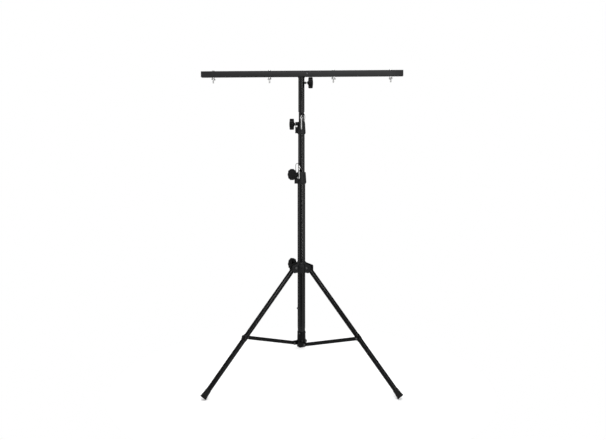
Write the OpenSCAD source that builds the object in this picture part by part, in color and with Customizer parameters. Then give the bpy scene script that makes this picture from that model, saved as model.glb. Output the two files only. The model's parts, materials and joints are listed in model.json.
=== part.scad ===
// Three-section telescopic T-bar lighting stand on a folding tripod base.
// Millimetres, +Z up. Origin: on the floor, on the axis of the mast.
// The T-bar runs along X. The stand's front faces -Y.

/* [Mast] */
// outside diameter of the base tube
base_d = 46; // [40:0.5:52]
// outside diameter of the middle tube
mid_d = 39; // [34:0.5:42]
// outside diameter of the top tube
top_d = 32; // [26:0.5:35]
// wall thickness of the three mast tubes
mast_wall = 1.5; // [1:0.1:2.5]
// height of the lower end of the base tube
base_low = 200; // [150:1:260]
// height of the base tube's upper end
base_high = 1226; // [1000:1:1300]
// height of the middle tube's upper end
mid_high = 1524; // [1400:1:1620]
// length of the middle tube
mid_len = 1019; // [800:1:1100]
// length of the top tube
top_len = 1033; // [800:1:1100]

/* [Tripod] */
// angle between each leg and the vertical
leg_angle = 41.08; // [35:0.01:48]
// outside diameter of the leg tubes
leg_d = 28; // [22:0.5:30]
// wall thickness of the leg tubes
leg_wall = 1.5; // [1:0.1:2.5]
// height of the leg pivots
pivot_z = 668; // [600:1:720]
// distance of the leg pivots from the mast axis
pivot_r = 48; // [44:0.5:56]
// diameter of the rubber feet
foot_d = 38; // [32:1:46]
// distance from leg pivot to strut joint, along the leg
joint_along = 488; // [440:1:540]
// height of the struts' inner pivots
strut_z = 217; // [210:1:228]
// distance of the struts' inner pivots from the mast axis
strut_r = 38; // [38:0.5:46]
// height of the strut section
strut_h = 20; // [16:0.5:24]

/* [T-bar] */
// length of the T-bar over its end caps
bar_len = 1200; // [900:1:1500]
// side of the square bar
bar_s = 35; // [28:0.5:40]
// height of the bar's underside
bar_low = 1797; // [1700:1:1900]
// distance of the inner bar bolts from the mast
bolt_in = 190; // [150:1:260]
// distance of the outer bar bolts from the mast
bolt_out = 528; // [400:1:570]
// outside diameter of the socket that fits over the top tube
socket_d = 37; // [36:0.5:42]
// height of the socket's lower end
socket_low = 1588; // [1560:1:1700]

/* [Knobs] */
// diameter of the clamp knobs
knob_d = 66; // [50:1:70]
// height of the hub knob's axis
hub_knob_z = 682; // [676:0.5:690]
// height of the lower collar knob's axis
low_knob_z = 1217; // [1214:0.5:1219]
// height of the upper collar knob's axis
up_knob_z = 1515; // [1512:0.5:1517]
// height of the T-bar knob's axis
bar_knob_z = 1761; // [1700:1:1775]

/* [Hidden] */
$fn = 96;
small_fn = 48;
fit = 0.075;
gap = 0.3;
base_r = base_d / 2;
mid_r = mid_d / 2;
top_r = top_d / 2;
base_in = base_r - mast_wall;
mid_in = mid_r - mast_wall;
top_in = top_r - mast_wall;
mid_low = mid_high - mid_len;
top_high = bar_low - 4;
top_low = top_high - top_len;
leg_r = leg_d / 2;
foot_r = foot_d / 2;
leg_len = (pivot_z - foot_r * sin(leg_angle)) / cos(leg_angle);
joint_r = pivot_r + joint_along * sin(leg_angle);
joint_z = pivot_z - joint_along * cos(leg_angle);
strut_len = norm([joint_r - strut_r, joint_z - strut_z]);
strut_angle = atan2(joint_z - strut_z, joint_r - strut_r);
leg_azimuths = [333.4, 93.4, 213.4];

// clamp knobs: azimuth of each knob and radius where its boss ends
hub_az = 153;
low_az = 215;
up_az = 182;
bar_az = 0;
hub_boss = 42;
low_boss = 40;
up_boss = 36;
bar_boss = 28.5;
low_reach = 4;
bar_reach = 5;
screw_r = 4;
thread_r = screw_r + 0.05;
shank_r = screw_r - 0.3;
bolt_tail = 36;
bolt_free = 16;
bar_wall = 1.5;
cap_t = 2;
bar_screw_x = 34;
pass_r = 5;

// lower collar
low_collar_foot = 1160;
low_collar_shoulder = 1169;
low_collar_top = 1231;
low_wide = 29.6;
low_narrow = 25.8;
low_block_foot = 1163;
low_block_out = 43;
low_split = 1199;
low_bolt_at = 32;

// upper collar
up_collar_foot = 1455;
up_collar_shoulder = 1462;
up_collar_top = 1529;
up_wide = 25.5;
up_narrow = 21.8;
up_block_foot = 1461.5;
up_block_out = 36.5;
up_split = 1501.5;
up_bolt_at = 29;
lug_half = 8;
bush_len = 62;

// hub
hub_low = 637;
hub_top = 698;
hub_core = 30;
hub_bore = 26;
cheek_in = leg_r + 0.4;
cheek_t = 5;
cheek_out = 70;
cheek_low_in = 56;
cheek_tip = 679;
cheek_top = 694;
neck_z = 690;
hub_screw_az = 273;
hub_screw_z = 692.5;
web_half = 14;
web_out = 36;
pivot_bolt_r = 4;

// strut sides, measured sideways from the leg's centre plane
lug_face = 16.9;
strut_near = 17.3;
strut_t = 8;
strut_mid = strut_near + strut_t / 2;
ear_t = 4;
ear_near = strut_near - gap;
ear_far = strut_near + strut_t + gap;
joint_bolt_r = 3.5;

// strut bracket
bracket_low = 197;
bracket_step = 233;
bracket_high = 289;
ear_low = 206;
ear_tall = 22;
rivet_azimuths = [7, 127, 247];
rivet_z = 278;
stop_z = 422;

// safety pins
pin_r = 4;
pin_len = 64;
low_pin = [-12, -31.2, 1189];
up_pin = [1.5, -29.4, 1482];
ring_r = 6;
ring_wire = 1.4;
ring_up = pin_len + ring_r - 1;
eye_r = 2.5;
eye_wire = 0.8;
cord_r = 1.6;
cord_sides = 8;
barrel_r = 2.6;
barrel_len = 6;
stud_r = 1.2;
low_anchor = [-32, -21, 1229];
up_anchor = [18, 6.5, 1529];

module radial(azimuth, z) {
    rotate([0, 0, azimuth]) translate([0, 0, z]) children();
}

module out_x(from, to, r) {
    translate([from, 0, 0]) rotate([0, 90, 0]) cylinder(h = to - from, r = r, $fn = small_fn);
}

module along_y(x, z, from, to, r, sides = small_fn) {
    translate([x, to, z]) rotate([90, 0, 0]) cylinder(h = to - from, r = r, $fn = sides);
}

module tube(low, high, r_out, r_in) {
    translate([0, 0, low]) difference() {
        cylinder(h = high - low, r = r_out);
        translate([0, 0, -1]) cylinder(h = high - low + 2, r = r_in);
    }
}

module leg_place(azimuth) {
    rotate([0, 0, azimuth]) translate([pivot_r, 0, pivot_z]) rotate([0, 180 - leg_angle, 0]) children();
}

module strut_place(azimuth) {
    rotate([0, 0, azimuth]) translate([strut_r, 0, strut_z]) rotate([0, -strut_angle, 0]) children();
}

// ---- base ----

module base_tube() color("#26272a") difference() {
    tube(base_low, base_high, base_r, base_in);
    radial(low_az, low_knob_z) out_x(base_in - 2, base_r + 2, pass_r);
}

module base_plug() color("#17181a") {
    difference() {
        union() {
            translate([0, 0, base_low]) cylinder(h = 20, r = base_in);
            rotate_extrude() polygon([
                [0, base_low - 4], [base_r - 6, base_low - 4], [base_r - 3, base_low - 3.2],
                [base_r - 1, base_low - 1.6], [base_r, base_low], [0, base_low]]);
        }
        translate([0, 0, base_low + 3]) cylinder(h = 20, r = base_in - 2.5);
    }
}

module strut_bracket() color("#232427") difference() {
    union() {
        rotate_extrude() polygon([
            [base_r, bracket_low], [base_r + 3, bracket_low], [base_r + 4, bracket_low + 2.5],
            [base_r + 4, bracket_step], [base_r + 2.6, bracket_step + 5],
            [base_r + 1.4, bracket_high - 3], [base_r + 0.6, bracket_high], [base_r, bracket_high]]);
        for (a = leg_azimuths) rotate([0, 0, a]) bracket_clevis();
    }
    translate([0, 0, bracket_low - 5]) cylinder(h = bracket_high - bracket_low + 10, r = base_r);
    for (a = leg_azimuths) rotate([0, 0, a]) along_y(strut_r, strut_z, -50, 0, joint_bolt_r);
    for (a = rivet_azimuths) radial(a, rivet_z) out_x(base_r - 1, base_r + 6, 2.5);
}

module bracket_clevis() {
    far_side = -ear_far - ear_t;
    near_side = -ear_near + ear_t;
    translate([14, far_side, ear_low]) cube([12.6, near_side - far_side, ear_tall]);
    for (y_low = [far_side, -ear_near]) {
        translate([16, y_low, ear_low]) cube([strut_r - 16, ear_t, ear_tall]);
        along_y(strut_r, strut_z, y_low, y_low + ear_t, ear_tall / 2);
    }
}

module bracket_pins() color("#b9bcc0") for (a = leg_azimuths) rotate([0, 0, a]) {
    shank_far = -ear_far - ear_t;
    shank_near = -ear_near + ear_t;
    along_y(strut_r, strut_z, shank_far, shank_near, joint_bolt_r);
    along_y(strut_r, strut_z, shank_far - 4, shank_far, 6.5, 6);
    along_y(strut_r, strut_z, shank_near, shank_near + 3, 6);
}

module bracket_rivets() color("#8e9195") for (a = rivet_azimuths) radial(a, rivet_z) {
    out_x(base_r, base_r + 1.75, 2.5);
    out_x(base_r + 1.75, base_r + 3, 4.2);
}

module stop_screw() color("#1b1c1e") radial(183, stop_z) {
    out_x(base_r, base_r + 1.2, 6);
    out_x(base_r + 1.2, base_r + 4, 4.5);
}

module collar_lug(r_from, r_boss, block_out, low, split, high, axis_z) {
    translate([r_from, -lug_half, split + 2]) cube([r_boss - r_from, 2 * lug_half, high - split - 2]);
    translate([0, 0, axis_z]) out_x(r_from, r_boss, lug_half + 2);
    translate([r_from, -lug_half - 1, low]) cube([block_out - r_from, 2 * lug_half + 2, split - low - 2]);
    translate([r_from, -lug_half + 2, split - 3]) cube([r_boss - r_from - 2.5, 2 * lug_half - 4, 6]);
}

module lower_collar() color("#1c1d20") difference() {
    union() {
        rotate_extrude() polygon([
            [mid_r + 0.5, low_collar_foot], [base_r + 0.8, low_collar_foot],
            [low_wide, low_collar_shoulder], [low_wide - 0.2, low_collar_shoulder + 4],
            [low_narrow, low_collar_top - 3], [low_narrow - 1.5, low_collar_top],
            [mid_r + 0.5, low_collar_top]]);
        for (a = [250, 270, 290, 310, 330])
            rotate([0, 0, a]) translate([0, 0, low_collar_shoulder + 6])
                rotate([0, -3.2, 0]) translate([24, -1.2, 0]) cube([5.6, 2.4, 46]);
        rotate([0, 0, low_az]) 
            collar_lug(20, low_boss, low_block_out, low_block_foot, low_split,
                low_collar_top - 2, low_knob_z);
    }
    translate([0, 0, low_collar_foot - 1]) cylinder(h = base_high - low_collar_foot + 1, r = base_r);
    translate([0, 0, low_collar_foot - 1]) cylinder(h = 90, r = mid_r + 0.5);
    radial(low_az, low_knob_z) out_x(base_r - 2, low_boss + 2, thread_r);
    rotate([0, 0, low_az]) along_y(low_bolt_at, low_split, -20, 20, 3);
    translate(low_anchor - [0, 0, 4]) cylinder(h = 10, r = stud_r, $fn = 24);
}

module lower_bush() color("#3b3d40") difference() {
    tube(base_high - bush_len, base_high - 0.4, base_in, mid_r + fit);
    radial(low_az, low_knob_z) out_x(mid_r - 3, base_r, pass_r);
}

module collar_bolt(azimuth, r, z, half) color("#b9bcc0") rotate([0, 0, azimuth]) {
    along_y(r, z, -half, half, 3);
    along_y(r, z, half, half + 4, 5.4, 6);
    along_y(r, z, -half - 4, -half, 5);
}

module lower_collar_bolt() collar_bolt(low_az, low_bolt_at, low_split, lug_half + 1);

module safety_pin(at) color("#c9ccd0") translate(at) difference() {
    rotate_extrude($fn = small_fn) polygon([
        [0, 0], [0.8, 0], [pin_r - 0.6, 7], [pin_r, 9], [pin_r, pin_len - 8],
        [pin_r + 1.4, pin_len - 8], [pin_r + 1.4, pin_len - 5], [pin_r, pin_len - 5],
        [pin_r, pin_len + 3], [pin_r - 1.2, pin_len + 5], [0, pin_len + 5]]);
    translate([0, 0, pin_len]) rotate([0, 90, 0])
        cylinder(h = 20, r = ring_wire + 1.1, center = true, $fn = 32);
}

module pin_ring(at) color("#c9ccd0") translate(at + [0, 0, ring_up]) rotate([90, 0, 0])
    rotate_extrude($fn = small_fn) translate([ring_r, 0]) circle(r = ring_wire, $fn = 24);

module lower_pin() safety_pin(low_pin);
module lower_ring() pin_ring(low_pin);

// ---- lanyards: round cords swept along hand-chosen routes ----

low_route = [
    [-32, -21, 1235], [-32, -21, 1239.5], [-32, -21, 1244], [-32.2, -21, 1248.5], [-32.4, -21, 1253],
    [-32.5, -21, 1257.5], [-32.6, -21, 1262], [-32.6, -21, 1266.5], [-32.4, -21.2, 1271],
    [-31, -21.9, 1277], [-27.3, -23.7, 1281.4], [-22.2, -26.2, 1283.2], [-17.2, -28.6, 1282.2],
    [-13.7, -30.3, 1279.2], [-12.2, -31.1, 1275.4], [-12, -31.2, 1273.8], [-12, -31.2, 1272.5]];

up_route = [
    [18, 6.5, 1535], [18, 6.5, 1537], [18.4, 6.1, 1541.5], [19.5, 5, 1547],
    [20.5, 3, 1552.5], [20.5, 0.5, 1558],
    [20.5, -2.5, 1563], [19.5, -6, 1568], [18, -10, 1572.5], [15.5, -14, 1576.5], [12.6, -17.8, 1579.5],
    [9.4, -21.4, 1581.2], [6.3, -24.6, 1580.6], [3.8, -27.1, 1578], [2.2, -28.7, 1574],
    [1.6, -29.3, 1569.5], [1.5, -29.4, 1567], [1.5, -29.4, 1565.5]];

function unit(v) = v / norm(v);

function tangent(p, i) = unit(p[min(i + 1, len(p) - 1)] - p[max(i - 1, 0)]);

module cord(route, across) {
    n = len(route);
    points = [for (i = [0 : n - 1]) let (t = tangent(route, i), u = unit(cross(t, across)), v = cross(t, u))
        for (k = [0 : cord_sides - 1])
            route[i] + cord_r * (cos(360 * k / cord_sides) * u + sin(360 * k / cord_sides) * v)];
    sides = [for (i = [0 : n - 2]) for (k = [0 : cord_sides - 1]) let (m = (k + 1) % cord_sides)
        [(i + 1) * cord_sides + k, (i + 1) * cord_sides + m, i * cord_sides + m, i * cord_sides + k]];
    first_cap = [for (k = [0 : cord_sides - 1]) k];
    last_cap = [for (k = [cord_sides - 1 : -1 : 0]) (n - 1) * cord_sides + k];
    polyhedron(points = points, faces = concat([first_cap], sides, [last_cap]));
}

module lower_lanyard() color("#101113") cord(low_route, [0.5, 1, 0]);
module upper_lanyard() color("#101113") cord(up_route, [1, -0.6, -0.4]);

module anchor(at) translate(at) {
    cylinder(h = barrel_len, r = barrel_r, $fn = 32);
    translate([0, 0, -4]) cylinder(h = 4, r = stud_r, $fn = 24);
}

module ring_eye(pin_at) translate(pin_at + [0, 0, ring_up + ring_r]) {
    rotate([0, 90, 0]) rotate_extrude($fn = 32) translate([eye_r, 0]) circle(r = eye_wire, $fn = 16);
    translate([0, 0, eye_r]) cylinder(h = barrel_len, r = barrel_r, $fn = 32);
}

module lower_ferrules() color("#b9bcc0") {
    anchor(low_anchor);
    ring_eye(low_pin);
}

module upper_ferrules() color("#b9bcc0") {
    anchor(up_anchor);
    ring_eye(up_pin);
}

// ---- hub that slides on the base tube and carries the legs ----

module hub_cheeks() {
    for (side = [1, -1]) {
        from = side > 0 ? cheek_in : -cheek_in - cheek_t;
        translate([0, from + cheek_t, 0]) rotate([90, 0, 0]) linear_extrude(cheek_t) polygon([
            [hub_core - 6, hub_low + 3], [cheek_low_in, hub_low], [cheek_out - 3, hub_low + 6],
            [cheek_out, hub_low + 11], [cheek_out, cheek_tip], [cheek_out - 3, cheek_tip + 4],
            [hub_core - 6, cheek_top]]);
    }
}

module tripod_hub() color("#1c1d20") difference() {
    union() {
        rotate_extrude() polygon([
            [base_r + 1, hub_low], [hub_core - 1, hub_low], [hub_core, hub_low + 1],
            [hub_core, neck_z], [hub_core - 2, hub_top], [base_r + 1, hub_top]]);
        for (a = leg_azimuths) rotate([0, 0, a]) {
            hub_cheeks();
            for (side = [1, -1]) along_y(pivot_r, pivot_z, side > 0 ? cheek_in : -cheek_in - cheek_t,
                side > 0 ? cheek_in + cheek_t : -cheek_in, 12);
        }
        for (a = leg_azimuths) rotate([0, 0, a + 60])
            translate([web_out - 18, -web_half, hub_low + 4]) cube([18, 2 * web_half, 46]);
        radial(hub_az, hub_knob_z) out_x(20, hub_boss, 11);
    }
    translate([0, 0, hub_low - 1]) cylinder(h = hub_top - hub_low + 2, r = hub_bore);
    for (a = leg_azimuths) rotate([0, 0, a]) along_y(pivot_r, pivot_z, -40, 40, pivot_bolt_r);
    radial(hub_az, hub_knob_z) out_x(base_r, hub_boss + 2, thread_r);
    radial(hub_screw_az, hub_screw_z) out_x(hub_bore - 1, hub_core + 5, 2);
}

module hub_bush() color("#3b3d40") difference() {
    tube(hub_low + 0.5, hub_top - 0.5, hub_bore, base_r + fit);
    radial(hub_az, hub_knob_z) out_x(base_r - 2, hub_bore + 2, pass_r);
}

module hub_screw() color("#8e9195") radial(hub_screw_az, hub_screw_z) {
    out_x(hub_bore, hub_core, 2);
    out_x(hub_core, hub_core + 2, 3.2);
}

module hub_bolts() color("#8e9195") for (a = leg_azimuths) rotate([0, 0, a]) {
    face = cheek_in + cheek_t;
    along_y(pivot_r, pivot_z, -face, face, pivot_bolt_r);
    along_y(pivot_r, pivot_z, -face - 4, -face, 7.5, 6);
    along_y(pivot_r, pivot_z, face, face + 4, 7.5);
}

// ---- legs ----

module leg_tube(a) color("#2b2c30") leg_place(a) difference() {
    tube(-10, leg_len - 6, leg_r, leg_r - leg_wall);
    along_y(0, 0, -30, 30, pivot_bolt_r + 0.05);
}

module leg_lug(a) color("#232427") leg_place(a) difference() {
    union() {
        translate([0, 0, joint_along - 16]) cylinder(h = 32, r = leg_r + 2);
        along_y(0, joint_along, -lug_face, 0, 13);
    }
    translate([0, 0, joint_along - 20]) cylinder(h = 40, r = leg_r);
    translate([0, 0, joint_along - 20]) cube([20, 3, 40]);
}

module foot(a) color("#101113") leg_place(a) difference() {
    rotate_extrude() translate([0, leg_len]) polygon([
        [0, -6], [leg_r, -6], [leg_r, -48], [leg_r + 1.2, -48], [leg_r + 1.6, -46],
        [leg_r + 1.9, -34], [foot_r - 2.4, -22], [foot_r - 1, -14], [foot_r - 1, -12],
        [foot_r - 2, -11], [foot_r - 2, -9], [foot_r - 0.6, -8], [foot_r, -5],
        [foot_r, 0], [foot_r - 4, 0], [foot_r - 5, -1.5], [0, -1.5]]);
}

// ---- struts ----

module strut(a) color("#26272a") strut_place(a) difference() {
    union() {
        translate([0, -strut_near, 0]) rotate([90, 0, 0]) cylinder(h = strut_t, r = strut_h / 2);
        translate([strut_len, -strut_near, 0]) rotate([90, 0, 0]) cylinder(h = strut_t, r = strut_h / 2);
        translate([0, -strut_near - strut_t, -strut_h / 2 + 2]) cube([strut_len, strut_t, strut_h - 4]);
        translate([0, -strut_near - strut_t + 1.6, -strut_h / 2]) cube([strut_len, strut_t - 3.2, strut_h]);
        for (y = [1.6, strut_t - 1.6], z = [2, strut_h - 2])
            translate([0, -strut_near - y, z - strut_h / 2]) rotate([0, 90, 0])
                cylinder(h = strut_len, r = 1.6, $fn = 24);
    }
    rotate([90, 0, 0]) translate([0, 0, strut_near - 1]) cylinder(h = strut_t + 2, r = joint_bolt_r + 0.05);
    rotate([90, 0, 0]) translate([strut_len, 0, strut_near - 1]) cylinder(h = strut_t + 2, r = joint_bolt_r);
}

module strut_bolt(a) color("#8e9195") strut_place(a) {
    along_y(strut_len, 0, -strut_near - strut_t, -strut_near - 0.1, joint_bolt_r);
    along_y(strut_len, 0, -strut_near - strut_t - 3, -strut_near - strut_t, 6.5, 6);
}

// ---- middle section ----

module mid_tube() color("#26272a") difference() {
    tube(mid_low, mid_high, mid_r, mid_in);
    radial(up_az, up_knob_z) out_x(mid_in - 2, mid_r + 2, pass_r);
}

module slide_foot(low, r_guide, r_tube, r_spigot) {
    difference() {
        union() {
            translate([0, 0, low - 30]) cylinder(h = 30, r = r_guide);
            translate([0, 0, low]) cylinder(h = 25, r = r_spigot);
        }
        translate([0, 0, low - 31]) cylinder(h = 60, r = r_spigot - 3);
    }
}

module mid_foot() color("#3b3d40") slide_foot(mid_low, base_in - 0.1, mid_r, mid_in);

module upper_collar() color("#1c1d20") difference() {
    union() {
        rotate_extrude() polygon([
            [top_r + 0.5, up_collar_foot], [mid_r + 0.8, up_collar_foot],
            [up_wide, up_collar_shoulder], [up_wide - 0.2, up_collar_shoulder + 4],
            [up_narrow, up_collar_top - 3], [up_narrow - 1.5, up_collar_top],
            [top_r + 0.5, up_collar_top]]);
        for (a = [230, 250, 290, 310, 330])
            rotate([0, 0, a]) translate([0, 0, up_collar_shoulder + 6])
                rotate([0, -3.2, 0]) translate([20, -1.2, 0]) cube([5.6, 2.4, 46]);
        rotate([0, 0, up_az]) 
            collar_lug(17, up_boss, up_block_out, up_block_foot, up_split, up_collar_top - 1, up_knob_z);
    }
    translate([0, 0, up_collar_foot - 1]) cylinder(h = mid_high - up_collar_foot + 1, r = mid_r);
    translate([0, 0, up_collar_foot - 1]) cylinder(h = 90, r = top_r + 0.5);
    radial(up_az, up_knob_z) out_x(mid_r - 2, up_boss + 2, thread_r);
    rotate([0, 0, up_az]) along_y(up_bolt_at, up_split, -20, 20, 3);
    translate(up_anchor - [0, 0, 4]) cylinder(h = 10, r = stud_r, $fn = 24);
}

module upper_bush() color("#3b3d40") difference() {
    tube(mid_high - bush_len, mid_high - 0.4, mid_in, top_r + fit);
    radial(up_az, up_knob_z) out_x(top_r - 3, mid_r, pass_r);
}

module upper_collar_bolt() collar_bolt(up_az, up_bolt_at, up_split, lug_half + 1);

module upper_pin() safety_pin(up_pin);
module upper_ring() pin_ring(up_pin);

// ---- top section ----

module top_tube() color("#26272a") tube(top_low, top_high, top_r, top_in);

module top_foot() color("#3b3d40") slide_foot(top_low, mid_in - 0.1, top_r, top_in);

// ---- T-bar ----

module t_bar() color("#2f3033") difference() {
    bore = bar_s - 2 * bar_wall;
    translate([cap_t - bar_len / 2, -bar_s / 2, bar_low]) cube([bar_len - 2 * cap_t, bar_s, bar_s]);
    translate([-bar_len / 2, -bore / 2, bar_low + bar_wall]) cube([bar_len, bore, bore]);
    for (x = [-bolt_out, -bolt_in, bolt_in, bolt_out])
        translate([x, 0, bar_low - 1]) cylinder(h = bar_s + 2, r = shank_r, $fn = small_fn);
    along_y(bar_screw_x, bar_low + bar_s / 2, -bar_s, 0, 3);
}

module bar_caps() color("#17181a") for (side = [1, -1]) scale_x(side) {
    bore = bar_s - 2 * bar_wall;
    translate([bar_len / 2 - cap_t, -bar_s / 2, bar_low]) cube([cap_t, bar_s, bar_s]);
    translate([bar_len / 2 - 16, -bore / 2, bar_low + bar_wall]) cube([16 - cap_t, bore, bore]);
}

module scale_x(side) {
    if (side > 0) children();
    else mirror([1, 0, 0]) children();
}

module bar_screw() color("#17181a") {
    along_y(bar_screw_x, bar_low + bar_s / 2, -bar_s / 2, -bar_s / 2 + bar_wall, 3);
    along_y(bar_screw_x, bar_low + bar_s / 2, -bar_s / 2 - 1.6, -bar_s / 2, 5.5);
}

module bar_socket() color("#26272a") difference() {
    union() {
        translate([0, 0, socket_low]) cylinder(h = bar_low - socket_low, r = socket_d / 2);
        rotate_extrude() polygon([
            [socket_d / 2 - 1, bar_low - 8], [socket_d / 2, bar_low - 8], [socket_d / 2 + 1, bar_low - 3.5],
            [socket_d / 2 + 4.5, bar_low], [socket_d / 2 - 1, bar_low]]);
        radial(bar_az, bar_knob_z) out_x(15, bar_boss, 7);
    }
    translate([0, 0, socket_low - 1]) cylinder(h = bar_low - socket_low - 2, r = top_r + fit);
    radial(bar_az, bar_knob_z) out_x(10, bar_boss + 2, thread_r);
}

module bar_bolts() color("#b9bcc0") for (x = [-bolt_out, -bolt_in, bolt_in, bolt_out]) {
    translate([x, 0, bar_low - bolt_tail]) cylinder(h = bolt_free, r = screw_r, $fn = small_fn);
    translate([x, 0, bar_low - bolt_tail + bolt_free])
        cylinder(h = bar_s + bolt_tail - bolt_free, r = shank_r, $fn = small_fn);
    translate([x, 0, bar_low + bar_s]) cylinder(h = 5.5, r = 8, $fn = 6);
}

module wing_nut(x, turn) color("#c9ccd0") translate([x, 0, bar_low - 1.2])
    rotate([0, 0, turn]) difference() {
        union() {
            translate([0, 0, -10]) cylinder(h = 10, r1 = 6, r2 = 8, $fn = small_fn);
            for (side = [0, 180]) rotate([0, 0, side]) {
                translate([5, -1.5, -12]) cube([7, 3, 9]);
                translate([13, 0, -11]) rotate([90, 0, 0])
                    cylinder(h = 3, r = 6, center = true, $fn = small_fn);
            }
        }
        translate([0, 0, -20]) cylinder(h = 30, r = shank_r + fit, $fn = small_fn);
    }

// ---- clamp knobs ----

module knob(azimuth, z, boss) color("#131416") radial(azimuth, z) translate([boss + 2, 0, 0])
    rotate([0, 90, 0]) difference() {
        rotate_extrude() polygon([
            [0, 0], [8.5, 0], [9, 0.5], [11, 4], [14, 5.5], [knob_d / 2 - 4, 6], [knob_d / 2 - 1, 7.5],
            [knob_d / 2, 10], [knob_d / 2, 28], [knob_d / 2 - 1, 30.5], [knob_d / 2 - 4, 32],
            [17, 32.4], [14, 33.2], [9, 33.8], [0, 34]]);
        for (k = [0 : 7]) rotate([0, 0, 22.5 + 45 * k]) translate([knob_d / 2 + 4, 0, -1])
            cylinder(h = 40, r = 7.5, $fn = small_fn);
        translate([0, 0, -1]) cylinder(h = 21, r = screw_r, $fn = small_fn);
    }

module clamp_screw(azimuth, z, from, boss) color("#b9bcc0") radial(azimuth, z) {
    out_x(from + 2, boss + 22, screw_r);
    out_x(from, from + 2, screw_r - 0.8);
}

module hub_knob() knob(hub_az, hub_knob_z, hub_boss);
module hub_knob_screw() clamp_screw(hub_az, hub_knob_z, base_r + gap, hub_boss);
module lower_knob() knob(low_az, low_knob_z, low_boss + low_reach);
module lower_knob_screw() clamp_screw(low_az, low_knob_z, mid_r + gap, low_boss + low_reach);
module upper_knob() knob(up_az, up_knob_z, up_boss);
module upper_knob_screw() clamp_screw(up_az, up_knob_z, top_r + gap, up_boss);
module bar_knob() knob(bar_az, bar_knob_z, bar_boss + bar_reach);
module bar_knob_screw() clamp_screw(bar_az, bar_knob_z, top_r + gap, bar_boss + bar_reach);

base_tube();
base_plug();
strut_bracket();
bracket_pins();
bracket_rivets();
stop_screw();
lower_collar();
lower_bush();
lower_collar_bolt();
lower_pin();
lower_ring();
lower_lanyard();
lower_ferrules();
tripod_hub();
hub_bush();
hub_screw();
hub_bolts();
hub_knob();
hub_knob_screw();
leg_tube(leg_azimuths[0]);  // leg_right
leg_lug(leg_azimuths[0]);  // leg_lug_right
foot(leg_azimuths[0]);  // foot_right
strut(leg_azimuths[0]);  // strut_right
strut_bolt(leg_azimuths[0]);  // strut_bolt_right
leg_tube(leg_azimuths[1]);  // leg_back
leg_lug(leg_azimuths[1]);  // leg_lug_back
foot(leg_azimuths[1]);  // foot_back
strut(leg_azimuths[1]);  // strut_back
strut_bolt(leg_azimuths[1]);  // strut_bolt_back
leg_tube(leg_azimuths[2]);  // leg_left
leg_lug(leg_azimuths[2]);  // leg_lug_left
foot(leg_azimuths[2]);  // foot_left
strut(leg_azimuths[2]);  // strut_left
strut_bolt(leg_azimuths[2]);  // strut_bolt_left
lower_knob();
lower_knob_screw();
mid_tube();
mid_foot();
upper_collar();
upper_bush();
upper_collar_bolt();
upper_pin();
upper_ring();
upper_lanyard();
upper_ferrules();
upper_knob();
upper_knob_screw();
top_tube();
top_foot();
t_bar();
bar_caps();
bar_socket();
bar_bolts();
bar_screw();
bar_knob();
bar_knob_screw();
wing_nut(-bolt_out, 62);  // wing_nut_1
wing_nut(-bolt_in, 130);  // wing_nut_2
wing_nut(bolt_in, 48);  // wing_nut_3
wing_nut(bolt_out, 118);  // wing_nut_4
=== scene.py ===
"""Looks of a telescopic T-bar lighting stand: materials, finer pieces, light and camera.

Metres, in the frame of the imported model: origin on the floor on the mast's axis, Z up,
the T-bar along X, the front towards -Y.
"""
import json
import math

import bmesh
import bpy
from mathutils import Matrix, Vector


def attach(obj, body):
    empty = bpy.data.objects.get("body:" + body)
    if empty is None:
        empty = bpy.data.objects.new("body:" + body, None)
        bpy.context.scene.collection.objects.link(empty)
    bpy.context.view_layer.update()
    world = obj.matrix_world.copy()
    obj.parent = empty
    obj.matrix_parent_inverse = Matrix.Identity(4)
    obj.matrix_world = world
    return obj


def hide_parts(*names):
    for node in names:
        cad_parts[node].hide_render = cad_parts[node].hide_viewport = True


MM = 0.001

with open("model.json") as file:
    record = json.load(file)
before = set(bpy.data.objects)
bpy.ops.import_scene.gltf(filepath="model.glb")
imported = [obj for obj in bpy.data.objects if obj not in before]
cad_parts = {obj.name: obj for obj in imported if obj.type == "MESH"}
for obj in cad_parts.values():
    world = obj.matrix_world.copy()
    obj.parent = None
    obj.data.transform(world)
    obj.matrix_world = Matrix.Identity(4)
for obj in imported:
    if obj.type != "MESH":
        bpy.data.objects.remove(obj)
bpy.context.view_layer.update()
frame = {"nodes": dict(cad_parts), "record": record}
nodes = frame["nodes"]


# ---------------------------------------------------------------- camera

VIEW_HEIGHT = 1.3025
VIEW_DISTANCE = 3.6
VIEW_TURN = math.radians(2.8)
LENS = 35.98
SENSOR = 36.0
FRAME_WIDTH = 606
HORIZON_ABOVE_CENTRE = 60
MAST_LEFT_OF_CENTRE = 1.6


def make_camera():
    data = bpy.data.cameras.new("camera")
    data.sensor_width = SENSOR
    data.lens = LENS
    data.shift_y = -HORIZON_ABOVE_CENTRE / FRAME_WIDTH
    data.shift_x = MAST_LEFT_OF_CENTRE / FRAME_WIDTH
    camera = bpy.data.objects.new("camera", data)
    camera.location = (
        VIEW_DISTANCE * math.sin(VIEW_TURN),
        -VIEW_DISTANCE * math.cos(VIEW_TURN),
        VIEW_HEIGHT,
    )
    camera.rotation_euler = (math.pi / 2, 0, VIEW_TURN)
    bpy.context.scene.collection.objects.link(camera)
    bpy.context.scene.camera = camera


make_camera()


# ---------------------------------------------------------------- materials


def new_material(name):
    material = bpy.data.materials.new(name)
    material.use_nodes = True
    tree = material.node_tree
    tree.nodes.clear()
    shader = tree.nodes.new("ShaderNodeBsdfPrincipled")
    output = tree.nodes.new("ShaderNodeOutputMaterial")
    tree.links.new(shader.outputs["BSDF"], output.inputs["Surface"])
    return material, tree, shader


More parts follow.
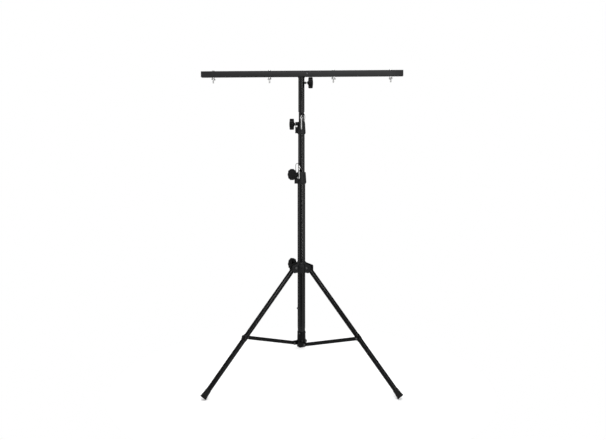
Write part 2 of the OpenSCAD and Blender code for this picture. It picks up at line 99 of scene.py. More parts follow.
def coordinates(tree, stretch=(1, 1, 1)):
    source = tree.nodes.new("ShaderNodeTexCoord")
    mapping = tree.nodes.new("ShaderNodeMapping")
    mapping.inputs["Scale"].default_value = stretch
    tree.links.new(source.outputs["Object"], mapping.inputs["Vector"])
    return mapping.outputs["Vector"]


def noise(tree, vector, scale, detail=3.0, roughness=0.5):
    node = tree.nodes.new("ShaderNodeTexNoise")
    node.inputs["Scale"].default_value = scale
    node.inputs["Detail"].default_value = detail
    node.inputs["Roughness"].default_value = roughness
    tree.links.new(vector, node.inputs["Vector"])
    return node.outputs["Fac"]


def ramp(tree, value, low, high, start=0.35, end=0.65):
    """Maps a noise value onto low..high, both plain numbers."""
    node = tree.nodes.new("ShaderNodeMapRange")
    node.inputs["From Min"].default_value = start
    node.inputs["From Max"].default_value = end
    node.inputs["To Min"].default_value = low
    node.inputs["To Max"].default_value = high
    tree.links.new(value, node.inputs["Value"])
    return node.outputs["Result"]


def maths(tree, operation, first, second):
    """One sum; first and second are sockets or plain numbers."""
    node = tree.nodes.new("ShaderNodeMath")
    node.operation = operation
    for socket, value in zip(node.inputs, (first, second)):
        if isinstance(value, float):
            socket.default_value = value
        else:
            tree.links.new(value, socket)
    return node.outputs["Value"]


def colour_mix(tree, factor, first, second):
    node = tree.nodes.new("ShaderNodeMix")
    node.data_type = "RGBA"
    node.inputs["A"].default_value = (*first, 1)
    node.inputs["B"].default_value = (*second, 1)
    tree.links.new(factor, node.inputs["Factor"])
    return node.outputs["Result"]


def bump(tree, shader, height, distance, strength):
    node = tree.nodes.new("ShaderNodeBump")
    node.inputs["Distance"].default_value = distance
    node.inputs["Strength"].default_value = strength
    tree.links.new(height, node.inputs["Height"])
    tree.links.new(node.outputs["Normal"], shader.inputs["Normal"])


def scratches(tree, stretch, scale, start):
    """Long thin marks: a noise stretched along one axis, cut off near its top."""
    fine = noise(tree, coordinates(tree, stretch), scale, 2.0, 0.4)
    return ramp(tree, fine, 0.0, 1.0, start, start + 0.06)


def powder_coat(name, colour, worn, rough, specular, grain_scale=1100, grain=0.00012):
    """Powder coating: orange-peel grain, patchy gloss and a few faint marks."""
    material, tree, shader = new_material(name)
    vector = coordinates(tree)
    patches = noise(tree, vector, 9, 4.0)
    marks = scratches(tree, (1, 1, 0.06), 160, 0.70)
    tone = ramp(tree, patches, 0.0, 0.45)
    mixed = maths(tree, "MAXIMUM", tone, marks)
    tree.links.new(colour_mix(tree, mixed, colour, worn), shader.inputs["Base Color"])
    tree.links.new(ramp(tree, patches, rough - 0.05, rough + 0.07), shader.inputs["Roughness"])
    bump(tree, shader, noise(tree, vector, grain_scale, 2.0), grain, 0.5)
    shader.inputs["Specular IOR Level"].default_value = specular
    return material


def moulded(name, colour, worn, rough, specular, grain_scale=1500, grain=0.00018):
    """Moulded plastic: spark-eroded grain, slight sheen change, dusty patches."""
    material, tree, shader = new_material(name)
    vector = coordinates(tree)
    cells = tree.nodes.new("ShaderNodeTexVoronoi")
    cells.inputs["Scale"].default_value = grain_scale
    tree.links.new(vector, cells.inputs["Vector"])
    patches = noise(tree, vector, 22, 5.0, 0.6)
    tree.links.new(colour_mix(tree, ramp(tree, patches, 0, 1), colour, worn), shader.inputs["Base Color"])
    tree.links.new(ramp(tree, patches, rough - 0.06, rough + 0.08), shader.inputs["Roughness"])
    bump(tree, shader, cells.outputs["Distance"], grain, 0.5)
    shader.inputs["Specular IOR Level"].default_value = specular
    return material


def metal(name, colour, stained, rough):
    """Zinc plate: fine turning marks, cloudy passivation and dull spots."""
    material, tree, shader = new_material(name)
    vector = coordinates(tree)
    clouds = noise(tree, vector, 120, 5.0, 0.65)
    lines = noise(tree, vector, 1400, 2.0)
    tree.links.new(colour_mix(tree, ramp(tree, clouds, 0, 1), colour, stained), shader.inputs["Base Color"])
    tree.links.new(ramp(tree, clouds, rough - 0.07, rough + 0.12), shader.inputs["Roughness"])
    shader.inputs["Metallic"].default_value = 1.0
    bump(tree, shader, lines, 0.00006, 0.6)
    return material


def rubber(name, colour, worn):
    material, tree, shader = new_material(name)
    vector = coordinates(tree)
    dust = noise(tree, vector, 60, 6.0, 0.7)
    worn_mix = colour_mix(tree, ramp(tree, dust, 0, 1, 0.45, 0.75), colour, worn)
    tree.links.new(worn_mix, shader.inputs["Base Color"])
    tree.links.new(ramp(tree, dust, 0.62, 0.85), shader.inputs["Roughness"])
    bump(tree, shader, noise(tree, vector, 900, 4.0), 0.0002, 0.6)
    shader.inputs["Specular IOR Level"].default_value = 0.12
    return material


MATERIALS = {
    "tube_black": powder_coat(
        "tube_black", (0.0014, 0.0015, 0.0016), (0.0030, 0.0031, 0.0033), 0.15, 0.22, grain=0.00003),
    "leg_black": powder_coat(
        "leg_black", (0.0004, 0.0005, 0.0006), (0.0014, 0.0015, 0.0016), 0.15, 0.10, grain=0.00005),
    "bar_black": powder_coat(
        "bar_black", (0.0110, 0.0111, 0.0115), (0.0165, 0.0167, 0.0171), 0.42, 0.12),
    "moulded_black": moulded(
        "moulded_black", (0.0045, 0.0047, 0.0050), (0.0090, 0.0092, 0.0096), 0.40, 0.11),
    "knob_black": moulded(
        "knob_black", (0.0010, 0.0010, 0.0011), (0.0026, 0.0026, 0.0028), 0.36, 0.09, 1900, 0.0001),
    "rubber_black": rubber(
        "rubber_black", (0.0026, 0.0026, 0.0026), (0.0100, 0.0098, 0.0094)),
    "nylon_grey": moulded(
        "nylon_grey", (0.030, 0.030, 0.033), (0.055, 0.055, 0.058), 0.5, 0.2),
    "zinc_bright": metal(
        "zinc_bright", (0.62, 0.62, 0.62), (0.42, 0.42, 0.41), 0.28),
    "fixing_dark": metal(
        "fixing_dark", (0.085, 0.085, 0.088), (0.048, 0.048, 0.048), 0.38),
    "cord_black": moulded(
        "cord_black", (0.0020, 0.0020, 0.0022), (0.0050, 0.0050, 0.0053), 0.3, 0.10, 700, 0.00005),
}


def dress(obj, slot):
    obj.data.materials.clear()
    obj.data.materials.append(MATERIALS[slot])


SLOT_OF = {part["node"]: part["material_slot"] for part in frame["record"]["subparts"]}
for node_name, node_object in nodes.items():
    dress(node_object, SLOT_OF[node_name])


# ---------------------------------------------------------------- mesh helpers


def make_object(name, verts, faces, slot):
    mesh = bpy.data.meshes.new(name)
    mesh.from_pydata(verts, [], faces)
    mesh.validate()
    bm = bmesh.new()
    bm.from_mesh(mesh)
    bmesh.ops.remove_doubles(bm, verts=bm.verts, dist=1e-7)
    bmesh.ops.recalc_face_normals(bm, faces=bm.faces)
    bm.to_mesh(mesh)
    bm.free()
    for polygon in mesh.polygons:
        polygon.use_smooth = True
    obj = bpy.data.objects.new(name, mesh)
    bpy.context.scene.collection.objects.link(obj)
    dress(obj, slot)
    return obj


def stand_for(obj, body, *replaced):
    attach(obj, body)
    if replaced:
        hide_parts(*replaced)
    return obj


def sharpen(obj, angle=35):
    """Keeps edges sharper than angle crisp while the rest is shaded smooth."""
    obj.data.set_sharp_from_angle(angle=math.radians(angle))
    return obj


def grid_faces(rings, sides):
    faces = []
    for i in range(rings - 1):
        for k in range(sides):
            m = (k + 1) % sides
            faces.append((i * sides + k, i * sides + m, (i + 1) * sides + m, (i + 1) * sides + k))
    return faces


def lathe(profile, sides=64, radius_at=None):
    """Turns (radius, height) points about Z; radius_at(radius, height, angle) may shape it."""
    verts = []
    for radius, height in profile:
        for k in range(sides):
            angle = 2 * math.pi * k / sides
            r = radius if radius_at is None else radius_at(radius, height, angle)
            verts.append((r * math.cos(angle), r * math.sin(angle), height))
    return verts, grid_faces(len(profile), sides)


def placed(verts, matrix):
    return [tuple(matrix @ Vector(v)) for v in verts]


def joined(*parts):
    """Joins (verts, faces) pairs into one pair."""
    verts, faces = [], []
    for part_verts, part_faces in parts:
        base = len(verts)
        verts.extend(part_verts)
        faces.extend(tuple(base + i for i in face) for face in part_faces)
    return verts, faces


def scaled(profile):
    return [(r * MM, z * MM) for r, z in profile]


# ---------------------------------------------------------------- lanyards

# metres
CORD_D = 3.2 * MM
CORD_STRANDS, CORD_GROOVE, CORD_PITCH = 6, 0.00009, 0.012

# each cord's route in millimetres, from the ferrule in its collar to the one at its ring
LOW_ROUTE = [
    (-32, -21, 1235), (-32, -21, 1239.5), (-32, -21, 1244), (-32.2, -21, 1248.5), (-32.4, -21, 1253),
    (-32.5, -21, 1257.5), (-32.6, -21, 1262), (-32.6, -21, 1266.5), (-32.4, -21.2, 1271),
    (-31, -21.9, 1277), (-27.3, -23.7, 1281.4), (-22.2, -26.2, 1283.2), (-17.2, -28.6, 1282.2),
    (-13.7, -30.3, 1279.2), (-12.2, -31.1, 1275.4), (-12, -31.2, 1273.8), (-12, -31.2, 1272.5)]

UP_ROUTE = [
    (18, 6.5, 1535), (18, 6.5, 1537), (18.4, 6.1, 1541.5), (19.5, 5, 1547), (20.5, 3, 1552.5),
    (20.5, 0.5, 1558), (20.5, -2.5, 1563), (19.5, -6, 1568), (18, -10, 1572.5), (15.5, -14, 1576.5),
    (12.6, -17.8, 1579.5), (9.4, -21.4, 1581.2), (6.3, -24.6, 1580.6), (3.8, -27.1, 1578),
    (2.2, -28.7, 1574), (1.6, -29.3, 1569.5), (1.5, -29.4, 1567), (1.5, -29.4, 1565.5)]


def catmull(points, steps):
    """A smooth line through points, steps pieces between each pair."""
    line = []
    for i in range(len(points) - 1):
        a, b = points[max(i - 1, 0)], points[i]
        c, d = points[i + 1], points[min(i + 2, len(points) - 1)]
        for s in range(steps):
            t = s / steps
            line.append(0.5 * (2 * b + (c - a) * t + (2 * a - 5 * b + 4 * c - d) * t * t
                               + (3 * b - a - 3 * c + d) * t * t * t))
    line.append(points[-1])
    return line


def sweep(line, radius, sides, strands, groove, pitch):
    """A laid cord along line. Its strands, groove deep between them, wind round once each pitch."""
    verts = []
    travelled = 0.0
    normal = None
    for i, point in enumerate(line):
        before, after = line[max(i - 1, 0)], line[min(i + 1, len(line) - 1)]
        tangent = (after - before).normalized()
        if normal is None:
            normal = tangent.orthogonal().normalized()
        normal = (normal - tangent * normal.dot(tangent)).normalized()
        side = tangent.cross(normal)
        if i:
            travelled += (point - line[i - 1]).length
        for k in range(sides):
            angle = 2 * math.pi * k / sides
            lay = strands * (angle - 2 * math.pi * travelled / pitch)
            r = radius - groove * (0.5 - 0.5 * math.cos(lay))
            verts.append(tuple(point + r * (math.cos(angle) * normal + math.sin(angle) * side)))
    faces = grid_faces(len(line), sides)
    faces.append(tuple(range(sides)))
    faces.append(tuple((len(line) - 1) * sides + k for k in range(sides)))
    return verts, faces


def make_lanyard(name, route, body, node):
    points = [Vector(p) * MM for p in route]
    line = catmull(points, 6)
    verts, faces = sweep(line, CORD_D / 2, 18, CORD_STRANDS, CORD_GROOVE, CORD_PITCH)
    cord = stand_for(make_object(name, verts, faces, "cord_black"), body, node)


# ---------------------------------------------------------------- finer pieces


def turn_z(degrees):
    return Matrix.Rotation(math.radians(degrees), 4, "Z")


def turn_y(degrees):
    return Matrix.Rotation(math.radians(degrees), 4, "Y")


def shift(x, y, z):
    return Matrix.Translation((x * MM, y * MM, z * MM))


def outward(azimuth, radius, height):
    """A frame at radius and height whose Z axis points away from the mast."""
    return turn_z(azimuth) @ shift(radius, 0, height) @ turn_y(90)


def down_leg(azimuth):
    """A frame at a leg's pivot whose Z axis runs down the leg."""
    return turn_z(azimuth) @ shift(PIVOT_R, 0, PIVOT_Z) @ turn_y(180 - LEG_ANGLE)


def built(name, body, slot, nodes_replaced, *shapes, angle=35):
    verts, faces = joined(*shapes)
    obj = sharpen(make_object(name, verts, faces, slot), angle)
    return stand_for(obj, body, *nodes_replaced)


def turned(profile, matrix, sides=64, radius_at=None):
    verts, faces = lathe(scaled(profile), sides, radius_at)
    return placed(verts, matrix), faces


def hexagon(across_corners, limit):
    """Radius of a hexagon of the given corner radius, cut back by a cone given as limit(height)."""
    flat = across_corners * MM * math.cos(math.pi / 6)

    def radius(r, z, angle):
        if r < 1e-6:
            return r
        corner = (angle % (math.pi / 3)) - math.pi / 6
        return min(r, flat / math.cos(corner), limit(z))
    return radius


def thread(low, high, matrix, major=4.0, minor=3.35, pitch=1.25, sides=36, steps=8):
    """A threaded rod from low to high with a small run-out at both ends."""
    count = int(round((high - low) / pitch * steps))
    verts = []
    for i in range(count + 1):
        z = low + (high - low) * i / count
        fade = min(1.0, (z - low) / pitch, (high - z) / pitch)
        for k in range(sides):
            phase = (z / pitch - k / sides) % 1.0
            ridge = max(0.0, 1.0 - abs(phase - 0.5) * 2.4)
            r = minor + (major - minor) * min(1.0, ridge * 1.5) * fade
            a = 2 * math.pi * k / sides
            verts.append((r * MM * math.cos(a), r * MM * math.sin(a), z * MM))
    faces = grid_faces(count + 1, sides)
    faces.append(tuple(range(sides)))
    faces.append(tuple(count * sides + k for k in range(sides)))
    return placed(verts, matrix), faces


# an edge of a CAD piece is rounded when it's sharper than this (degrees) and longer than this (metres)
HARD_EDGE = 32
SHORTEST_EDGE = 0.0006


def refined(node, width):
    """A copy of a CAD piece with its hard edges broken by a small round."""
    source = nodes[node]
    bm = bmesh.new()
    bm.from_mesh(source.data)
    bmesh.ops.remove_doubles(bm, verts=bm.verts, dist=2e-6)
    bmesh.ops.dissolve_limit(bm, angle_limit=math.radians(0.5), verts=bm.verts, edges=bm.edges)
    edges = [e for e in bm.edges if len(e.link_faces) == 2
             and e.calc_face_angle(0) > math.radians(HARD_EDGE) and e.calc_length() > SHORTEST_EDGE]
    bmesh.ops.bevel(bm, geom=edges, offset=width * MM, offset_type="OFFSET", segments=2,
                    profile=0.6, affect="EDGES", clamp_overlap=True)
    bmesh.ops.triangulate(bm, faces=[f for f in bm.faces if len(f.verts) > 4])
    mesh = bpy.data.meshes.new(node + "_fine")
    bm.to_mesh(mesh)
    bm.free()
    for polygon in mesh.polygons:
        polygon.use_smooth = True
    obj = bpy.data.objects.new(node + "_fine", mesh)
    bpy.context.scene.collection.objects.link(obj)
    dress(obj, SLOT_OF[node])
    sharpen(obj, 30)
    stand_for(obj, BODY_OF[node], node)


BODY_OF = {}
for body_name, members in frame["record"]["behaviour"]["bodies"].items():
    for member in members:
        BODY_OF[member] = body_name

# Sizes from here to the lights are in millimetres, and MM turns them into metres.

# the mast's tubes: outside radii, their wall, and the heights of their ends
BASE_R, MID_R, TOP_R, MAST_WALL = 23, 19.5, 16, 1.5
BASE_ENDS, MID_ENDS, TOP_ENDS = (200, 1226), (505, 1524), (760, 1793)

# the legs: pivot, slope from the vertical, tube and foot
PIVOT_R, PIVOT_Z, LEG_ANGLE, LEG_R, LEG_WALL = 48, 668, 41.08, 14, 1.5
FOOT_R = 19
LEG_LEN = (PIVOT_Z - FOOT_R * math.sin(math.radians(LEG_ANGLE))) / math.cos(math.radians(LEG_ANGLE))
LEG_AZIMUTHS = {"right": 333.4, "back": 93.4, "left": 213.4}

# the T-bar: underside, side, half length, walls, bolts and the turn of each wing nut
BAR_LOW, BAR_S, BAR_HALF, BAR_WALL, BAR_CORNER = 1797, 35, 600, 1.5, 2.6
CAP_T, CAP_DEEP = 2, 16
BOLTS_AT = (-528, -190, 190, 528)
NUT_TURNS = (62, 130, 48, 118)
BOLT_TAIL, HEAD_R, HEAD_H, NUT_GAP = 36, 8, 5.5, 1.2
BAR_SCREW_X = 34
SOCKET_LOW, SOCKET_R, SOCKET_BORE = 1588, 18.5, 16.1
SCREW_R, SHANK_R = 4.0, 3.7


# knobs

KNOB_R, KNOB_FLUTE, KNOB_LOBES = 33, 3.5, 8
FLUTE_FROM_R = 17
BORE_DEEP = 20
PRESS_GAP = 0.3
BAR_KNOB_Z = 1761

# azimuth, height of the axis, radius where the boss ends, radius of the tube that the screw presses on
KNOBS = {
    "hub_knob": (153, 682, 42, BASE_R),
    "lower_knob": (215, 1217, 44, MID_R),
    "upper_knob": (182, 1515, 36, TOP_R),
    "bar_knob": (0, BAR_KNOB_Z, 33.5, TOP_R)}
KNOB_PROFILE = [
    (0, 20), (4, 20), (4, 0.3), (4.4, 0), (8, 0), (8.6, 0.3), (9, 1.1), (9.8, 2.8), (11.1, 4.3), (13, 5.2),
    (17, 5.6), (23, 5.8), (28.4, 6), (30.4, 6.5), (31.9, 7.6), (32.7, 9), (33, 10.8), (33, 15), (33, 23.5),
    (33, 27.4), (32.7, 29), (31.9, 30.4), (30.6, 31.4), (28.8, 32), (23, 32.25), (18.8, 32.3),
    (17.9, 31.8), (17.2, 31.8), (16.6, 32.4), (15.6, 32.9), (14, 33.3), (11.5, 33.6),
    (8, 33.85), (4, 33.95), (0, 34)]


def knob_radius(r, z, angle):
    """Eight shallow grip flutes that fade out towards the knob's middle."""
    reach = max(0.0, (r / MM - FLUTE_FROM_R) / (KNOB_R - FLUTE_FROM_R))
    flute = (0.5 - 0.5 * math.cos(KNOB_LOBES * angle)) ** 1.3
    return r - KNOB_FLUTE * MM * flute * reach ** 1.4


def make_knob(node, azimuth, height, boss, pressed_r):
    body = BODY_OF[node]
    place = outward(azimuth, boss + 2, height)
    grip = turned(KNOB_PROFILE, place, 128, knob_radius)
    built(node + "_fine", body, "knob_black", [node], grip, angle=50)
    start = pressed_r + PRESS_GAP - boss - 2
    screw = node + "_screw"
    tip = [(0, start), (SCREW_R - 0.8, start), (SCREW_R - 0.8, start + 2.2), (0, start + 2.2)]
    rod = thread(start + 2, BORE_DEEP - 0.1, place)
    built(screw + "_fine", body, "zinc_bright", [screw], turned(tip, place, 32), rod, angle=60)


for knob_name, knob_place in KNOBS.items():
    make_knob(knob_name, *knob_place)


# T-bar with its caps, bolts and wing nuts

def rounded_square(half, corner, x, steps=5):
    points = []
    for quarter in range(4):
        cx = (half - corner) * (1 if quarter in (0, 3) else -1)
        cz = (half - corner) * (1 if quarter in (0, 1) else -1)
        for i in range(steps + 1):
            a = math.pi / 2 * (quarter + i / steps)
            points.append((x, cx + corner * math.cos(a), cz + corner * math.sin(a)))
    return points


def along_x(rings, close_loop=False):
    """Lofts same-length rings of points; ends are capped unless close_loop joins last to first."""
    sides = len(rings[0])
    verts = [tuple(c * MM for c in point) for ring in rings for point in ring]
    faces = grid_faces(len(rings), sides)
    if close_loop:
        last = (len(rings) - 1) * sides
        faces += [(last + k, last + (k + 1) % sides, (k + 1) % sides, k) for k in range(sides)]
    else:
        faces.append(tuple(range(sides)))
        faces.append(tuple((len(rings) - 1) * sides + k for k in range(sides)))
    return verts, faces


def make_bar():
    middle = shift(0, 0, BAR_LOW + BAR_S / 2)
    half, corner, wall, end = BAR_S / 2, BAR_CORNER, BAR_WALL, BAR_HALF - CAP_T
    along = [-end + 0.5 + (2 * end - 1) * i / 12 for i in range(1, 12)]
    stations = [-end, -end + 0.5] + along + [end - 0.5, end]
    outer = [rounded_square(half - (0.4 if abs(x) == end else 0), corner, x) for x in stations]
    inner = [rounded_square(half - wall, corner - wall, x) for x in reversed(stations)]
    verts, faces = along_x(outer + inner, close_loop=True)
    built("t_bar_fine", "cross", "bar_black", ["t_bar"], (placed(verts, middle), faces), angle=40)
    caps = []
    for side in (-1, 1):
        rings = [rounded_square(half - wall, 1.1, side * (BAR_HALF - CAP_DEEP)),
                 rounded_square(half - wall, 1.1, side * end),
                 rounded_square(half, corner, side * end),
                 rounded_square(half, corner, side * (BAR_HALF - 1)),
                 rounded_square(half - 0.5, corner, side * (BAR_HALF - 0.35)),
                 rounded_square(half - 1.4, corner, side * (BAR_HALF - 0.05)),
                 rounded_square(half - 3.5, corner, side * BAR_HALF)]
        verts, faces = along_x(rings)
        caps.append((placed(verts, middle), faces))
    built("bar_caps_fine", "cross", "moulded_black", ["bar_caps"], *caps)


def cone_cut(z):
    """The chamfer that cuts a bolt head's corners back near its top."""
    return (HEAD_R - max(0.0, z / MM - BAR_S - 4.1) * 0.9) * MM


def make_bolts():
    shapes = []
    top = BAR_S + HEAD_H
    shank = [(0, 0.4), (SHANK_R, 0.4), (SHANK_R, BAR_S + 0.2), (0, BAR_S + 0.2)]
    head = [(0, BAR_S)]
    head += [(HEAD_R, BAR_S + up) for up in (0, 1.8, 3.4, 4.3, 4.9)]
    head += [(7.2, top - 0.2), (6.2, top), (4, top), (3.6, top - 0.2), (0, top - 0.2)]
    for x in BOLTS_AT:
        place = shift(x, 0, BAR_LOW)
        shapes.append(thread(-BOLT_TAIL, 0.5, place))
        shapes.append(turned(shank, place, 24))
        shapes.append(turned(head, place, 72, hexagon(HEAD_R, cone_cut)))
    built("bar_bolts_fine", "cross", "zinc_bright", ["bar_bolts"], *shapes, angle=40)


# a wing nut's ear: where it starts and ends, and the centre and radius of its round tip
WING_FROM, WING_TO, WING_MIDDLE, WING_R = 4.2, 19, 13, 6


def wing(side, steps=22, sides=20):
    """One cast ear of a wing nut, lofted outwards along X."""
    rings = []
    for i in range(steps + 1):
        x = WING_FROM + (WING_TO - WING_FROM) * i / steps
        centre = -6.8 - 4.2 * min(1.0, max(0.0, (x - 5) / 8)) ** 0.9
        if x < 11:
            tall = 3.4 + 2.4 * max(0.0, (x - 6) / 5) ** 1.4
        else:
            tall = math.sqrt(max(0.02, WING_R ** 2 - (x - WING_MIDDLE) ** 2))
        edge = 1.0
        if x > WING_MIDDLE:
            edge = max(0.0, 1 - ((x - WING_MIDDLE) / WING_R) ** 4) ** 0.5
        thick = (1.5 + 0.5 * max(0.0, (9 - x) / 5)) * max(edge, 0.08)
        ring = []
        for k in range(sides):
            a = 2 * math.pi * k / sides
            c, s = math.cos(a), math.sin(a)
            ring.append((side * x, thick * math.copysign(abs(c) ** 0.55, c),
                         centre + tall * math.copysign(abs(s) ** 0.9, s)))
        rings.append(ring)
    return along_x(rings)


def make_wing_nut(node, x, turn):
    place = shift(x, 0, BAR_LOW - NUT_GAP) @ turn_z(turn)
    bore = SHANK_R + 0.07
    barrel = [(bore, -10), (5.4, -10), (6.0, -9.5), (6.5, -7), (7.2, -3.5), (7.9, -0.9), (7.7, -0.2),
              (7.2, 0), (4.2, 0), (bore, -0.4), (bore, -10)]
    ears = []
    for side in (-1, 1):
        verts, faces = wing(side)
        ears.append((placed(verts, place), faces))
    built(node + "_fine", BODY_OF[node], "zinc_bright", [node], turned(barrel, place, 48), *ears)


def make_bar_screw():
    place = shift(BAR_SCREW_X, -BAR_S / 2, BAR_LOW + BAR_S / 2) @ Matrix.Rotation(math.pi / 2, 4, "X")
    profile = [(0, -1.5), (3, -1.5), (3, 0), (5.5, 0), (5.45, 0.5), (5, 1.05), (4.2, 1.4), (3.2, 1.6),
               (2.4, 1.6), (2.2, 1.4), (2.1, 0.5), (0, 0.4)]
    built("bar_screw_fine", "cross", "fixing_dark", ["bar_screw"], turned(profile, place, 48))


make_bar()
make_bolts()
for number, (bolt_x, nut_turn) in enumerate(zip(BOLTS_AT, NUT_TURNS), 1):
    make_wing_nut("wing_nut_%d" % number, bolt_x, nut_turn)
make_bar_screw()


def weld_bead(r, z, angle):
    """Ripples of the weld at the socket's flared top."""
    bead_from = (BAR_LOW - 8.6) * MM
    if z < bead_from or r < 0.018:
        return r
    return r + 0.00028 * math.sin(46 * angle + 900 * (z - bead_from))


def make_socket():
    low, top, r, bore = SOCKET_LOW, BAR_LOW, SOCKET_R, SOCKET_BORE
    tube = [(bore, low), (r - 0.4, low), (r, low + 0.5), (r, top - 10), (r + 0.1, top - 8.5),
            (r + 0.6, top - 6.5), (r + 1.3, top - 4), (r + 2.4, top - 2.2), (r + 3.9, top - 1),
            (r + 4.4, top), (bore, top), (bore, low)]
    boss = [(0, 15), (7, 15), (7, 27.6), (6.6, 28.3), (6, 28.5), (4.4, 28.5), (4.1, 28.2), (4.1, 20), (0, 20)]
    built("bar_socket_fine", "cross", "tube_black", ["bar_socket"],
          turned(tube, Matrix.Identity(4), 184, weld_bead), turned(boss, outward(0, 0, BAR_KNOB_Z), 48))


make_socket()


# mast tubes

def make_tube(node, ends, r_out, wall=MAST_WALL, rim=0.5):
    low, high = ends
    profile = [(r_out - wall, low + 0.3), (r_out - wall + 0.3, low), (r_out - rim, low), (r_out, low + rim),
               (r_out, low + (high - low) * 0.25), (r_out, low + (high - low) * 0.5),
               (r_out, low + (high - low) * 0.75), (r_out, high - rim), (r_out - rim, high),
               (r_out - wall + 0.3, high), (r_out - wall, high - 0.3), (r_out - wall, low + 0.3)]
    built(node + "_fine", BODY_OF[node], "tube_black", [node], turned(profile, Matrix.Identity(4), 96))


make_tube("base_tube", BASE_ENDS, BASE_R)
make_tube("mid_tube", MID_ENDS, MID_R)
make_tube("top_tube", TOP_ENDS, TOP_R)


# legs and feet

def foot_ribs(radius, z, angle):
    """Fine tread ribs round the last part of a foot."""
    end = LEG_LEN
    if z / MM < end - 14 or z / MM > end - 0.1 or radius < (FOOT_R - 2.5) * MM:
        return radius
    return radius - 0.00045 * (0.5 + 0.5 * math.cos(30 * angle)) ** 3


def make_leg(side):
    place = down_leg(LEG_AZIMUTHS[side])
    low, high = -10, LEG_LEN - 6
    r, bore = LEG_R, LEG_R - LEG_WALL
    tube = [(bore, low + 1), (bore + 0.3, low + 0.2), (r - 0.6, low), (r - 0.15, low + 0.3), (r, low + 1)]
    tube += [(r, low + (high - low) * i / 8) for i in range(1, 8)]
    tube += [(r, high), (bore, high), (bore, low + 1)]
    leg = "leg_" + side
    built(leg + "_fine", BODY_OF[leg], "leg_black", [leg], turned(tube, place, 72))


def make_foot(side):
    place = down_leg(LEG_AZIMUTHS[side])
    n, r, f = LEG_LEN, LEG_R, FOOT_R
    collar = [(0, n - 6), (r, n - 6), (r, n - 48), (r + 0.9, n - 48), (r + 1.4, n - 47.6),
              (r + 1.6, n - 46.4), (r + 1.7, n - 42), (r + 1.9, n - 34), (r + 2.2, n - 27),
              (r + 2.5, n - 22.6)]
    groove = [(f - 2.1, n - 20.4), (f - 1.4, n - 16.4), (f - 1, n - 14), (f - 1, n - 12.4),
              (f - 1.4, n - 11.6), (f - 2, n - 11), (f - 2.1, n - 10), (f - 2, n - 9), (f - 1, n - 8.3)]
    sole = [(f - 0.5, n - 7.4), (f - 0.1, n - 5.4), (f, n - 3.5), (f, n), (f - 3.8, n), (f - 4.4, n - 0.4),
            (f - 5, n - 1.5), (0, n - 1.5)]
    foot = "foot_" + side
    shape = turned(collar + groove + sole, place, 180, foot_ribs)
    built(foot + "_fine", BODY_OF[foot], "rubber_black", [foot], shape, angle=40)


for leg_side in LEG_AZIMUTHS:
    make_leg(leg_side)
    make_foot(leg_side)


# lanyard fittings: pin, ring above it, the eye in the ring, and the cord's anchor in the collar

RING_UP, RING_R, RING_WIRE, EYE_R, EYE_WIRE = 69, 6, 1.4, 2.5, 0.8
LOW_PIN, UP_PIN = (-12, -31.2, 1189), (1.5, -29.4, 1482)
LOW_ANCHOR, UP_ANCHOR = (-32, -21, 1229), (18, 6.5, 1529)


def torus(radius, wire, matrix, around=64, sides=20):
    verts = []
    for i in range(around):
        a = 2 * math.pi * i / around
        for k in range(sides):
            b = 2 * math.pi * k / sides
            r = radius + wire * math.cos(b)
            verts.append((r * math.cos(a) * MM, r * math.sin(a) * MM, wire * math.sin(b) * MM))
    faces = grid_faces(around, sides)
    last = (around - 1) * sides
    faces += [(last + k, last + (k + 1) % sides, (k + 1) % sides, k) for k in range(sides)]
    return placed(verts, matrix), faces


# profile of a crimped ferrule
BARREL = [
    (0, 0), (2.4, 0), (2.6, 0.25), (2.6, 1.2), (2.3, 1.6), (2.3, 2.0), (2.6, 2.4), (2.6, 3.6),
    (2.3, 4.0), (2.3, 4.4), (2.6, 4.8), (2.6, 5.75), (2.4, 6), (0, 6)]


def make_fittings(which, pin, anchor):
    x, y, z = pin
    eye_z = z + RING_UP + RING_R
    stud = [(0, -4), (1.2, -4), (1.2, 0), (0, 0)]
    body = BODY_OF[which + "_ferrules"]
    at_anchor = shift(*anchor)
    eye = torus(EYE_R, EYE_WIRE, shift(x, y, eye_z) @ turn_y(90), 40, 14)
    ferrules = built(which + "_ferrules_fine", body, "zinc_bright", [which + "_ferrules"],
                     turned(stud, at_anchor, 24), turned(BARREL, at_anchor, 40), eye,
                     turned(BARREL, shift(x, y, eye_z + EYE_R), 40))
    hoop = torus(RING_R, RING_WIRE, shift(x, y, z + RING_UP) @ Matrix.Rotation(math.pi / 2, 4, "X"))
    ring = built(which + "_ring_fine", body, "zinc_bright", [which + "_ring"], hoop)
    refined(which + "_pin", 0.25)
    return [ferrules, ring]


on_lower_cord = make_fittings("lower", LOW_PIN, LOW_ANCHOR)
on_upper_cord = make_fittings("upper", UP_PIN, UP_ANCHOR)
make_lanyard("lanyard_lower", LOW_ROUTE, "base", "lower_lanyard")
make_lanyard("lanyard_upper", UP_ROUTE, "middle", "upper_lanyard")


# pieces kept in their exact shape, with rounded edges

ROUNDED = {
    "tripod_hub": 0.9, "lower_collar": 0.7, "upper_collar": 0.6, "strut_bracket": 0.7, "base_plug": 0.5,
    "leg_lug_right": 0.6, "leg_lug_back": 0.6, "leg_lug_left": 0.6,
    "strut_right": 0.4, "strut_back": 0.4, "strut_left": 0.4,
    "strut_bolt_right": 0.4, "strut_bolt_back": 0.4, "strut_bolt_left": 0.4,
    "hub_bolts": 0.4, "hub_screw": 0.3, "bracket_pins": 0.4, "bracket_rivets": 0.3, "stop_screw": 0.4,
    "lower_collar_bolt": 0.4, "upper_collar_bolt": 0.4,
    "lower_bush": 0.3, "upper_bush": 0.3, "hub_bush": 0.3, "mid_foot": 0.4, "top_foot": 0.4}
for node_name, edge in ROUNDED.items():
    refined(node_name, edge)


# ---------------------------------------------------------------- light and floor


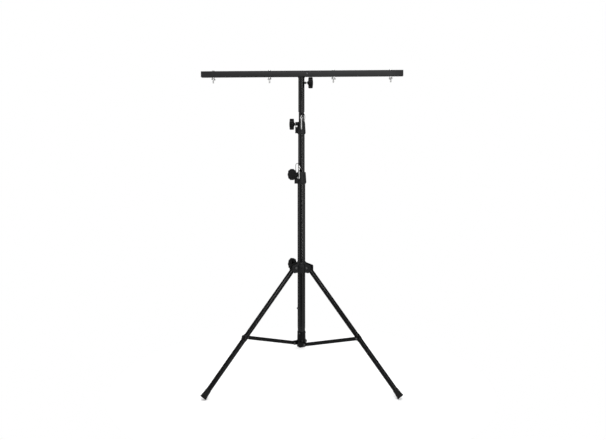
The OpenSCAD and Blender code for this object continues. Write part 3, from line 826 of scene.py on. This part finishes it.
def make_light(name, place, target, size, power):
    data = bpy.data.lights.new(name, "AREA")
    data.shape = "RECTANGLE"
    data.size, data.size_y = size
    data.energy = power
    light = bpy.data.objects.new(name, data)
    light.location = place
    light.rotation_euler = (Vector(target) - Vector(place)).to_track_quat("-Z", "Y").to_euler()
    bpy.context.scene.collection.objects.link(light)


FLOOR_R, FLOOR_DROP = 1.1, 0.0004

# the unlit gap that reflections see: turn to the left, fall, half width and soft edge in degrees
GAP_TURN, GAP_FALL, GAP_WIDE, GAP_SOFT, GAP_LIGHT = 6, 8, 17, 6, 0.0
BACK_LIGHT = 0.2


def make_floor():
    """A pale floor under the stand."""
    verts, faces = lathe([(FLOOR_R * i / 8, -FLOOR_DROP) for i in range(9)], 48)
    mesh = bpy.data.meshes.new("floor")
    mesh.from_pydata(verts, [], faces)
    floor = bpy.data.objects.new("floor", mesh)
    bpy.context.scene.collection.objects.link(floor)
    material, tree, shader = new_material("floor_white")
    shader.inputs["Base Color"].default_value = (0.99, 0.99, 0.99, 1)
    shader.inputs["Roughness"].default_value = 0.95
    shader.inputs["Specular IOR Level"].default_value = 0.0
    mesh.materials.append(material)


def make_world():
    """White surroundings. Reflections also see an unlit gap at the front and a dimmer back."""
    world = bpy.data.worlds.new("studio")
    world.use_nodes = True
    tree = world.node_tree
    around = tree.nodes.new("ShaderNodeTexCoord")
    towards = tree.nodes.new("ShaderNodeVectorMath")
    towards.operation = "DOT_PRODUCT"
    turn, fall = math.radians(GAP_TURN), math.radians(GAP_FALL)
    towards.inputs[1].default_value = (
        -math.sin(turn) * math.cos(fall), -math.cos(turn) * math.cos(fall), -math.sin(fall))
    tree.links.new(around.outputs["Generated"], towards.inputs[0])
    edge = math.cos(math.radians(GAP_WIDE + GAP_SOFT))
    front = ramp(tree, towards.outputs["Value"], 1.0, GAP_LIGHT, edge, math.cos(math.radians(GAP_WIDE)))
    axes = tree.nodes.new("ShaderNodeSeparateXYZ")
    tree.links.new(around.outputs["Generated"], axes.inputs[0])
    back = ramp(tree, axes.outputs["Y"], 1.0, BACK_LIGHT, 0.0, 0.7)
    both = maths(tree, "MULTIPLY", front, back)
    missing = maths(tree, "SUBTRACT", 1.0, both)
    seen = tree.nodes.new("ShaderNodeLightPath")
    hidden = maths(tree, "MULTIPLY", missing, seen.outputs["Is Glossy Ray"])
    background = tree.nodes["Background"]
    background.inputs["Color"].default_value = (1, 1, 1, 1)
    tree.links.new(maths(tree, "SUBTRACT", 1.0, hidden), background.inputs["Strength"])
    bpy.context.scene.world = world


# place, target, width and height in metres, power in watts
MAST_MIDDLE, TRIPOD_MIDDLE = (0, 0, 1.0), (0, 0, 0.5)
LIGHTS = {
    "strip_left": ((-3.9, -1.2, 1.5), MAST_MIDDLE, (0.5, 2.8), 18),
    "strip_middle": ((1.55, -3.45, 1.5), MAST_MIDDLE, (0.2, 2.8), 48),
    "strip_right": ((3.9, -1.2, 1.5), MAST_MIDDLE, (0.4, 2.8), 15),
    "high_left": ((-0.3, -3.0, 2.9), TRIPOD_MIDDLE, (0.45, 0.35), 22),
    "high_right": ((0.65, -3.0, 2.9), TRIPOD_MIDDLE, (0.45, 0.35), 20)}

make_floor()
make_world()
for light_name, light in LIGHTS.items():
    make_light(light_name, *light)
bpy.context.scene.view_settings.view_transform = "Standard"
